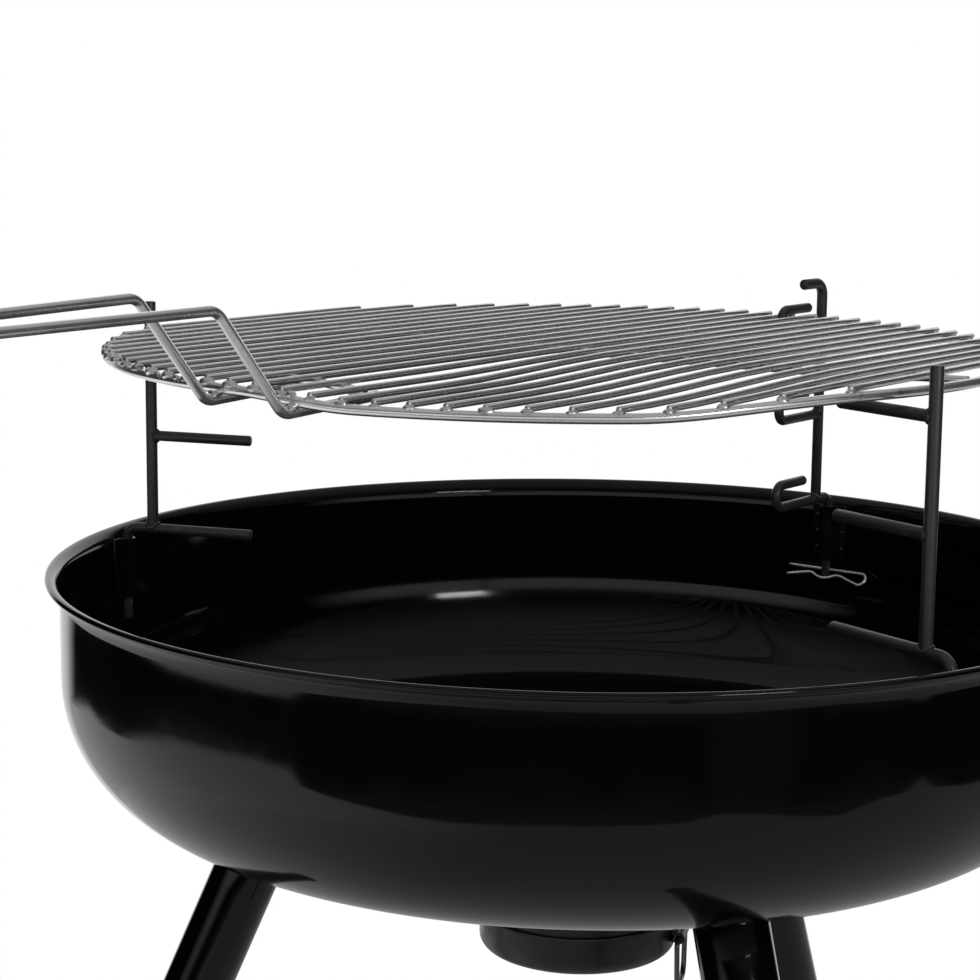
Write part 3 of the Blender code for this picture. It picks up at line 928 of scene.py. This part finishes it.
def makeArm(name, azimuth, level, body, node):
    # A straight arm whose root is hollowed to the post's round side
    tip = supportSize["armTipAway"]
    root = postAway - 0.0001

    def ring(size, away, hollow=False):
        def spot(angle):
            aside = size * math.cos(angle)
            back = bulge(postR, aside) if hollow else 0.0
            return fromAxis(azimuth, away - back, level + size * math.sin(angle), aside)
        return ringOf(supportSize["rodSides"], spot)

    rings = [[fromAxis(azimuth, tip, level)], ring(armR * 0.8, tip), ring(armR * 0.94, tip + 0.0002)]
    rings += [ring(armR, tip + 0.0007), ring(armR, root, True), ring(armR * 0.5, root, True)]
    rings.append([fromAxis(azimuth, root - postR, level)])
    addPiece(name, loft(rings), body, "satin", [node])


def makeSocket(side, azimuth):
    # A strap bent round the peg; its two flanges are spot-welded to the wall
    back = socketSize["backAway"]
    front = back - socketSize["sheet"]
    inner = socketSize["innerR"]
    outer = inner + socketSize["sheet"]
    flange = socketSize["flange"]
    bend = socketSize["bend"]
    outline = [(back, flange), (back, inner)]
    outline += arc((pegAway, 0), inner, 90, 270, 16)
    outline += [(back, -inner), (back, -flange), (front, -flange), (front, -outer - bend)]
    outline += arc((front - bend, -outer - bend), bend, 0, 90, 4)[1:]
    outline += arc((pegAway, 0), outer, 270, 90, 18)
    outline += arc((front - bend, outer + bend), bend, -90, 0, 4)[:-1]
    outline += [(front, outer + bend), (front, flange)]
    points = []
    for height in (socketSize["bottom"], socketSize["top"]):
        points += [fromAxis(azimuth, away, height, aside) for away, aside in outline]
    count = len(outline)
    faces = [tuple(range(count)), tuple(range(2 * count - 1, count - 1, -1))]
    for index in range(count):
        after = (index + 1) % count
        faces.append((after, index, count + index, count + after))
    piece = addPiece(f"socket.{side}", (points, faces), "stand", "strap", [f"socket_{side}"], 40)
    softened = piece.modifiers.new("softEdges", "BEVEL")
    softened.width = 0.00025
    softened.segments = 2
    softened.limit_method = "ANGLE"
    softened.angle_limit = math.radians(50)
    marks = []
    inward = -around(azimuth)
    tangent = inward.cross(upright)
    size = socketSize["spotR"]
    rise = inward * socketSize["spotRise"]
    for height in socketSize["spotHeights"]:
        for aside in (-socketSize["spotAside"], socketSize["spotAside"]):
            centre = fromAxis(azimuth, front + 0.0002, height, aside)
            marks.append(nugget(centre, tangent * size, upright * size, rise, 6, 16))
    addPiece(f"socketSpotWelds.{side}", joinShells(marks), "stand", "strap")


def makeSideSupport(side, azimuth):
    body = f"{side}_support"
    low = levels["low"]
    line = [(supportSize["armTipAway"], low), (pegAway, low), (pegAway, supportSize["pegEnd"])]
    rod = bentRod(azimuth, line, [supportSize["bend"]], armR)
    addPiece(f"lowArm.{side}", rod, body, "satin", [f"{side}_low_arm"])
    post = postOnArm(azimuth, supportSize["sidePostTop"])
    addPiece(f"post.{side}", post, body, "satin", [f"{side}_post"])
    welds = [footWeld(azimuth)]
    for name in ("middle", "top"):
        makeArm(f"{name}Arm.{side}", azimuth, levels[name], body, f"{side}_{name}_arm")
        welds.append(sideWeld(azimuth, levels[name]))
    addPiece(f"supportWelds.{side}", joinShells(welds), body, "satin")


def makeBackSupport(azimuth=180):
    top = supportSize["backPostTop"]
    hookAway = supportSize["hookAway"]
    bend = supportSize["bend"]
    line = [(postAway, levels["low"] + armR * 0.6), (postAway, top), (supportSize["backStubAway"], top)]
    addPiece("post.back", bentRod(azimuth, line, [bend], postR), "stand", "satin", ["back_post"])
    welds = [footWeld(azimuth)]
    for name, level in levels.items():
        high = level + supportSize["hookRise"]
        line = [(supportSize["hookTipAway"], high), (hookAway, high), (hookAway, level)]
        bends = [supportSize["hookBend"]] * 2
        if name == "low":
            line += [(pegAway, level), (pegAway, supportSize["pegEnd"])]
            bends.append(bend)
        else:
            line.append((postAway - postR * 0.7, level))
            welds.append(sideWeld(azimuth, level))
        rod = bentRod(azimuth, line, bends, armR)
        addPiece(f"{name}Hook.back", rod, "stand", "satin", [f"back_{name}_hook"])
    addPiece("supportWelds.back", joinShells(welds), "stand", "satin")


# Spring clip through the end of the back peg

clipSize = {
    "wireR": 0.001,
    "height": -0.0466,
    "lean": 47,
    "eyeR": 0.0043,
    "eyeAlong": 0.0255,
    # distance along the wall and away from the straight leg
    "straight": [(-0.0265, 0.0), (-0.012, 0.0), (0.0, 0.0), (0.012, 0.0)],
    "wave": [
        (0.0180, 0.0062), (0.0120, 0.0042), (0.0080, 0.0042), (0.0045, 0.0060), (0.0, 0.0069),
        (-0.0045, 0.0060), (-0.0080, 0.0042), (-0.0120, 0.0040), (-0.0255, 0.0072),
    ],
}


def makeClip():
    lean = math.radians(clipSize["lean"])
    eye = arc((clipSize["eyeAlong"], clipSize["eyeR"]), clipSize["eyeR"], -90, 90, 12)
    points = []
    for along, away in clipSize["straight"] + eye + clipSize["wave"]:
        height = clipSize["height"] - away * math.sin(lean)
        points.append(fromAxis(180, pegAway - away * math.cos(lean), height, -along))
    wire = sweepWire(smoothWire(points, 4), clipSize["wireR"], 12)
    addPiece("springClip", wire, "stand", "chrome", ["r_clip"])


# Grate: a round wire ring, straight bars welded on it, cross wires under them and a long loop handle

ringLow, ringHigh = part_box("grate_ring")
grateCentre = Vector([(low + high) / 2 for low, high in zip(ringLow, ringHigh)])
grateSize = {
    "ringR": 0.2415,
    "ringWireR": 0.0025,
    "barR": 0.00165,
    "bars": 29,
    "pitch": 0.0160,
    "overhang": 0.0044,
    "crossR": 0.002,
    "shortCrossAt": 0.196,
    "weld": (0.0030, 0.0023, 0.0017),
    "bigTo": 0.03,       # left of this place the front welds are big ones
    "dropsTo": 0.06,
    "turn": -0.6,
    "drift": 0.0005,     # how far a bar wanders aside, and up or down
    "barSag": 0.0004,
    "sag": 0.0040,       # how far the front has dropped, right of the handle
    "sagFrom": (-0.012, 0.055),
    "lift": 0.0025,      # and risen at the far right
    "liftFrom": (0.165, 0.235),
    "sagAlong": (0.02, 0.16),
}
handleSize = {
    "side": 0.024,
    "offset": -0.002,
    "root": 0.180,
    "heel": (0.2465, 0.1098),
    "leftKnee": (0.2900, 0.1603),
    "rightKnee": (0.2886, 0.1596),
    "leftEnd": (0.4706, 0.1555),
    "rightEnd": (0.4706, 0.1580),
    "bends": [0.010, 0.010, 0.018, 0.018, 0.010, 0.010],
    "weld": (0.0040, 0.0030, 0.0022),
}
ringR = grateSize["ringR"]
ringWireR = grateSize["ringWireR"]
barR = grateSize["barR"]
crossR = grateSize["crossR"]
barHeight = ringWireR + barR - 0.0002
grateHeight = grateCentre.z - rimHeight


def ease(value, low, high):
    share = min(max((value - low) / (high - low), 0.0), 1.0)
    return share * share * (3 - 2 * share)


def grateDip(across, along):
    # The bent front of a used grate: nothing at the back and at the left arm
    front = ease(-along, *grateSize["sagAlong"])
    lift = ease(across, *grateSize["liftFrom"])
    sag = ease(across, *grateSize["sagFrom"]) * (1 - lift)
    return grateSize["lift"] * lift - grateSize["sag"] * sag * front


def onGrate(across, along, height):
    # across and along are measured from the ring's centre; the handle lies at minus along
    turn = math.radians(grateSize["turn"])
    x = across * math.cos(turn) - along * math.sin(turn)
    y = across * math.sin(turn) + along * math.cos(turn)
    return grateCentre + Vector((x, y, height + grateDip(across, along)))


def makeRing():
    path = [onGrate(across, along, 0.0) for across, along in arc((0, 0), ringR, 0, 360, 300)[:-1]]
    addPiece("grateRing", sweepWire(path, ringWireR, 18, closed=True), "grate", "chrome", ["grate_ring"])


def onWay(across, along):
    return onGrate(across, along, 0.0) - grateCentre


def halfBar(across):
    # From the grate's middle to the ring, along a bar
    return math.sqrt(ringR**2 - across**2)


def barAcross(index):
    return (index - (grateSize["bars"] - 1) / 2) * grateSize["pitch"]


def makeBar(across):
    # One bar of drawn wire that isn't perfectly straight
    start = -halfBar(across) - 0.0005
    end = halfBar(across) + grateSize["overhang"]
    count = 14
    path = []
    for step in range(count + 1):
        along = start + (end - start) * step / count
        middle = math.sin(math.pi * step / count)
        drift = grateSize["drift"] * middle * noise.noise(Vector((across * 90, along * 6, 3.0)))
        sag = grateSize["barSag"] * middle * noise.noise(Vector((across * 70, along * 5, 9.0)))
        path.append(onGrate(across + drift, along, barHeight + sag))
    return sweepWire(path, barR, 14)


def makeBars():
    shells = [makeBar(barAcross(index)) for index in range(grateSize["bars"])]
    level = barHeight - barR - crossR + 0.0006
    half = ringR - ringWireR - 3 * weldGap
    reach = handleSize["side"] + 0.006
    shortAt = -grateSize["shortCrossAt"]
    longCross = [onGrate(half * step / 10, 0.0, level) for step in range(-10, 11)]
    shortCross = [onGrate(handleSize["offset"] + reach * step / 2, shortAt, level) for step in range(-2, 3)]
    shells += [sweepWire(longCross, crossR, 16), sweepWire(shortCross, crossR, 16)]
    addPiece("grateBars", joinShells(shells), "grate", "chrome", ["grate_bars"])


def makeGrateWelds():
    # A melted lump wherever two wires cross, and drops of plating by the front left ones
    lumps = []
    for index in range(grateSize["bars"]):
        across = barAcross(index)
        for end in (-halfBar(across), halfBar(across)):
            radial = (onGrate(across, end, 0) - grateCentre).normalized()
            tangent = upright.cross(radial)
            big = end < 0 and across < grateSize["bigTo"]
            size = random.uniform(0.9, 1.3) * (1.3 if big else 1.0)
            centre = onGrate(across, end, ringWireR * random.uniform(0.75, 1.0))
            wide, deep, tall = (half * size for half in grateSize["weld"])
            lumps.append(nugget(centre, tangent * wide, radial * deep, upright * tall))
            if end < 0 and across < grateSize["dropsTo"]:
                for drop in range(2):
                    slide = random.uniform(-0.45, 0.45) * grateSize["pitch"]
                    lift = ringWireR * random.uniform(0.2, 0.9)
                    dropR = random.uniform(0.0009, 0.0019)
                    near = centre + tangent * slide - radial * random.uniform(-0.0015, 0.0008)
                    near.z = grateCentre.z + grateDip(across, end) + lift
                    lumps.append(nugget(near, tangent * dropR * 1.6, radial * dropR, upright * dropR, 6, 9))
        centre = onGrate(across, 0.0, barHeight - barR - 0.0003)
        lumps.append(nugget(centre, upright * 0.0010, onWay(1, 0) * 0.0022, onWay(0, 1) * 0.0019, 6, 10))
    addPiece("grateWelds", joinShells(lumps), "grate", "weld")


def makeHandle():
    rootHeight = 0.0008 - 2 * crossR
    middle = handleSize["offset"]
    sides = {"left": middle - handleSize["side"], "right": middle + handleSize["side"]}

    def sideWire(side):
        bends = [handleSize["heel"], handleSize[f"{side}Knee"], handleSize[f"{side}End"]]
        spots = [(handleSize["root"], rootHeight)]
        spots += [(along, height - grateHeight) for along, height in bends]
        return [onGrate(sides[side], -along, height) for along, height in spots]

    path = bendWire(sideWire("left") + sideWire("right")[::-1], handleSize["bends"], 12)
    addPiece("grateHandle", sweepWire(path, ringWireR, 20), "grate", "chrome", ["grate_handle"])
    lumps = []
    wide, deep, tall = handleSize["weld"]
    for across in sides.values():
        front = -halfBar(across)
        for along, height in ((front, -ringWireR), (-grateSize["shortCrossAt"], rootHeight + 0.002)):
            centre = onGrate(across, along, height)
            lumps.append(nugget(centre, onWay(1, 0) * wide, onWay(0, 1) * deep, upright * tall, 8, 14))
        for spatter in range(5):
            aside = across + random.uniform(-0.007, 0.007)
            near = onGrate(aside, front + random.uniform(-0.001, 0.002), -0.0012)
            size = random.uniform(0.0005, 0.0011)
            lumps.append(nugget(near, onWay(1, 0) * size, onWay(0, 1) * size, upright * size, 6, 8))
    addPiece("handleWelds", joinShells(lumps), "grate", "weld")


makeStand()
print("bowl, legs and collar made")
makePot()
makePull()
print("ash pot and its ring made")
for side, azimuth in (("left", -supportSize["sideAzimuth"]), ("right", supportSize["sideAzimuth"])):
    makeSocket(side, azimuth)
    makeSideSupport(side, azimuth)
makeSocket("back", 180)
makeBackSupport()
makeClip()
print("grate supports made")
makeRing()
makeBars()
makeGrateWelds()
makeHandle()
print("grate made")


# Studio: pale floor, soft light from above and behind, darker room on the camera's side

cameraSize = {
    "azimuth": 34.287,
    "distance": 1.25845,
    "aboveRim": 0.24712,
    "pitch": 0.163764,
    "yaw": -0.0410326,
    "roll": 0.0103021,
    "focal": 2340.14,     # in pixels of the 980-pixel frame
    "frame": 980,
    "sensor": 36.0,
}
studioSize = {
    "floorR": 1.0,
    "whiteFrom": 0.45,
    "whiteTo": 0.85,
    "floorColor": 0.84,
    "floorRoughness": 0.9,
    # where the lit paper ends in reflections: angle from the camera's side, drop of the line of sight
    "paperEdge": [
        (-180, 0.25), (-131, 0.256), (-116, 0.28), (-96, 0.269), (-70, 0.277), (-62, 0.285),
        (-55, 0.347), (-46, 0.400), (-37, 0.460), (-27, 0.492), (-17, 0.482), (-4, 0.466),
        (10, 0.453), (21, 0.430), (29, 0.350), (38, 0.368), (47, 0.406), (56, 0.435),
        (64, 0.330), (74, 0.285), (86, 0.320), (180, 0.25),
    ],
    "paintedSideLight": (1.0, 0.42),   # painted side light: how bright the paper glows in reflections, left of the object and right of it
    "paintedSideLightAcross": (-0.85, -0.20),       # between these directions of the room it changes
    "paintedSideLightAcrossFloor": (-1.05, -0.20),  # and between these places on the floor, in metres
    "roomDark": 0.003,
    "farFloor": 0.11,    # bare floor past the paper
    "doorAzimuth": 36,   # a dim opening in the dark, on the camera's right
    "door": 0.07,
    "ceiling": 0.36,
    "frontWall": 0.85,
    "ambient": 0.62,
    "wanderScale": 3.2,   # slow waves of the far floor's and the door's edges
    "wander": (-0.012, 0.012),
    # where each part of the mirrored room begins and ends, as a lean of the line of sight
    "paperBlur": (-0.004, 0.004),
    "farFloorFrom": (0.275, 0.325),
    "doorSide": (0.935, 0.95),
    "doorTop": (0.245, 0.262),
    "ceilingFrom": (0.45, 0.75),
    "frontWallSide": (0.30, 0.60),
    "frontWallFoot": (-0.20, -0.12),
    "frontWallTop": (0.24, 0.34),
    "backWallSide": (-0.835, -0.755),
}


def addCamera():
    out = around(cameraSize["azimuth"])
    place = fromAxis(cameraSize["azimuth"], cameraSize["distance"], cameraSize["aboveRim"])
    heading = math.atan2(-out.y, -out.x) - cameraSize["yaw"]
    pitch = cameraSize["pitch"]
    roll = cameraSize["roll"]
    level = Vector((math.cos(heading), math.sin(heading), 0))
    ahead = level * math.cos(pitch) - upright * math.sin(pitch)
    right = Vector((math.sin(heading), -math.cos(heading), 0))
    above = right.cross(ahead)
    rolledRight = right * math.cos(roll) + above * math.sin(roll)
    rolledUp = above * math.cos(roll) - right * math.sin(roll)
    turned = Matrix((rolledRight, rolledUp, -ahead)).transposed().to_4x4()
    camera = bpy.data.objects.new("camera", bpy.data.cameras.new("camera"))
    bpy.context.scene.collection.objects.link(camera)
    camera.matrix_world = Matrix.Translation(place) @ turned
    camera.data.sensor_width = cameraSize["sensor"]
    camera.data.lens = cameraSize["focal"] / cameraSize["frame"] * cameraSize["sensor"]
    camera.data.clip_start = 0.01
    bpy.context.scene.camera = camera


def rays(tree, *kinds):
    # 1 for a ray of any of these kinds
    path = addNode(tree, "ShaderNodeLightPath")
    found = path.outputs[f"Is {kinds[0]} Ray"]
    for kind in kinds[1:]:
        found = combine(found, path.outputs[f"Is {kind} Ray"], "MAXIMUM")
    return found


def towards(place, way):
    # How far a direction leans, or a place lies, along a way
    inputs = {0: place, 1: way}
    return addNode(place.id_data, "ShaderNodeVectorMath", inputs, operation="DOT_PRODUCT").outputs["Value"]


def glow(under, share, strength=1.0):
    # Puts plain light in place of a shader, by share
    light = addNode(share.id_data, "ShaderNodeEmission", {"Strength": strength}).outputs["Emission"]
    mixed = addNode(share.id_data, "ShaderNodeMixShader", {"Fac": share, 1: under, 2: light})
    return mixed.outputs["Shader"]


def floorMaterial():
    # Plain pale paper that fades into the white of the room; in reflections it glows with painted side
    # light, brighter on the left
    material, tree, shader = startMaterial("floorPaper", 0.0)
    grey = studioSize["floorColor"]
    shader.inputs["Base Color"].default_value = (grey, grey, grey, 1)
    shader.inputs["Roughness"].default_value = studioSize["floorRoughness"]
    shader.inputs["Specular IOR Level"].default_value = 0.0
    place = addNode(tree, "ShaderNodeTexCoord").outputs["Object"]
    length = addNode(tree, "ShaderNodeVectorMath", {0: place}, operation="LENGTH")
    away = spread(length.outputs["Value"], (studioSize["whiteFrom"], studioSize["whiteTo"]))
    white = combine(away, rays(tree, "Camera", "Transmission"), "MULTIPLY")
    toRight = towards(place, around(cameraSize["azimuth"] + 90))
    # painted side light: glossy rays see the paper glow brighter on the left, standing in for a lamp there
    paintedSideLight = spread(toRight, studioSize["paintedSideLightAcrossFloor"], studioSize["paintedSideLight"])
    seen = glow(shader.outputs["BSDF"], white)
    mirrored = glow(seen, rays(tree, "Glossy"), paintedSideLight)
    join(mirrored, tree.nodes["Material Output"].inputs["Surface"])
    return material


def addFloor():
    rings = [[Vector((0, axisY, 0))]]
    for share in (0.25, 0.5, 0.75, 1.0):
        radius = studioSize["floorR"] * share
        rings.append([around(3 * step) * radius + Vector((0, axisY, 0)) for step in range(120)])
    floor = newObject("floor", loft(rings))
    floor.location.z = -0.0004
    floor.data.materials.append(floorMaterial())


def paperLine(toFront, toRight):
    # The drop at which the paper ends, by angle round the room
    share = combine(combine(combine(toRight, toFront, "ARCTAN2"), math.tau, "DIVIDE"), 0.5)
    ramp = addNode(toFront.id_data, "ShaderNodeValToRGB", {"Fac": share})
    stops = ramp.color_ramp.elements
    while len(stops) > 1:
        stops.remove(stops[-1])
    for index, (azimuth, drop) in enumerate(studioSize["paperEdge"]):
        stop = stops[0] if index == 0 else stops.new(azimuth / 360 + 0.5)
        stop.position = azimuth / 360 + 0.5
        stop.color = (drop, drop, drop, 1)
    return ramp.outputs["Color"]


def highest(first, *others):
    for other in others:
        first = combine(first, other, "MAXIMUM")
    return first


def mirroredRoom(tree):
    # What the shiny parts mirror: white behind, a lit wall in front, dark between, paper below
    size = studioSize
    azimuth = cameraSize["azimuth"]
    place = addNode(tree, "ShaderNodeTexCoord").outputs["Generated"]
    toFront = towards(place, around(azimuth))
    toRight = towards(place, around(azimuth + 90))
    toDoor = towards(place, around(azimuth + size["doorAzimuth"]))
    height = towards(place, upright)
    drop = towards(place, -upright)
    cloud = addNode(tree, "ShaderNodeTexNoise", {"Vector": place, "Scale": size["wanderScale"]})
    wander = spread(cloud.outputs["Fac"], (0.35, 0.65), size["wander"])
    past = combine(drop, paperLine(toFront, toRight), "SUBTRACT")
    # painted side light on the mirrored paper, brighter on the left
    paintedSideLight = spread(toRight, size["paintedSideLightAcross"], size["paintedSideLight"])
    paper = combine(spread(past, size["paperBlur"]), paintedSideLight, "MULTIPLY")
    farFloor = spread(combine(drop, wander), size["farFloorFrom"], (0.0, size["farFloor"]))
    door = spread(combine(toDoor, wander), size["doorSide"], (0.0, size["door"]))
    door = combine(door, spread(drop, size["doorTop"]), "MULTIPLY")
    ceiling = spread(height, size["ceilingFrom"], (0.0, size["ceiling"]))
    frontWall = spread(toFront, size["frontWallSide"], (0.0, size["frontWall"]))
    frontWall = combine(frontWall, spread(height, size["frontWallFoot"]), "MULTIPLY")
    frontWall = combine(frontWall, spread(height, size["frontWallTop"], (1.0, 0.0)), "MULTIPLY")
    backWall = spread(toFront, size["backWallSide"], (1.0, 0.0))
    return highest(farFloor, door, paper, ceiling, frontWall, backWall, size["roomDark"])


def addWorld():
    world = bpy.data.worlds.new("studio")
    bpy.context.scene.world = world
    world.use_nodes = True
    tree = world.node_tree
    background = tree.nodes["Background"]
    background.inputs["Color"].default_value = (1, 1, 1, 1)
    glossy = combine(mirroredRoom(tree), rays(tree, "Glossy"), "MULTIPLY")
    seen = highest(glossy, rays(tree, "Camera", "Transmission"))
    unseen = (studioSize["ambient"], 0.0)
    other = spread(rays(tree, "Camera", "Glossy", "Transmission"), (0.0, 1.0), unseen)
    join(combine(seen, other), background.inputs["Strength"])


def addSoftbox(name, place, aim, size, watts, mirrored=False):
    data = bpy.data.lights.new(name, "AREA")
    data.shape = "RECTANGLE"
    data.size, data.size_y = size
    data.energy = watts
    lamp = bpy.data.objects.new(name, data)
    bpy.context.scene.collection.objects.link(lamp)
    lamp.location = place
    lamp.rotation_euler = (Vector(aim) - Vector(place)).to_track_quat("-Z", "Y").to_euler()
    lamp.visible_camera = False
    lamp.visible_glossy = mirrored


softboxSize = {
    "top": {"place": (-0.3, 0.9, 2.6), "aim": (0, 0.1, 0.5), "size": (1.6, 1.2), "watts": 22},
    "front": {"place": fromAxis(cameraSize["azimuth"] + 32, 2.2, 0.42), "aim": (0, 0, 0.6),
              "size": (1.0, 0.5), "watts": 17},
    # the lamp that the front leg mirrors just under the bowl
    "small": {"place": fromAxis(cameraSize["azimuth"] + 33, 2.0, 0.76), "aim": (0.15, 0, 0.45),
              "size": (0.5, 0.2), "watts": 5.5, "mirrored": True},
}

addCamera()
addFloor()
addWorld()
for name, softbox in softboxSize.items():
    addSoftbox(f"{name}Softbox", **softbox)
bpy.context.scene.view_settings.view_transform = "Standard"
print("studio ready")
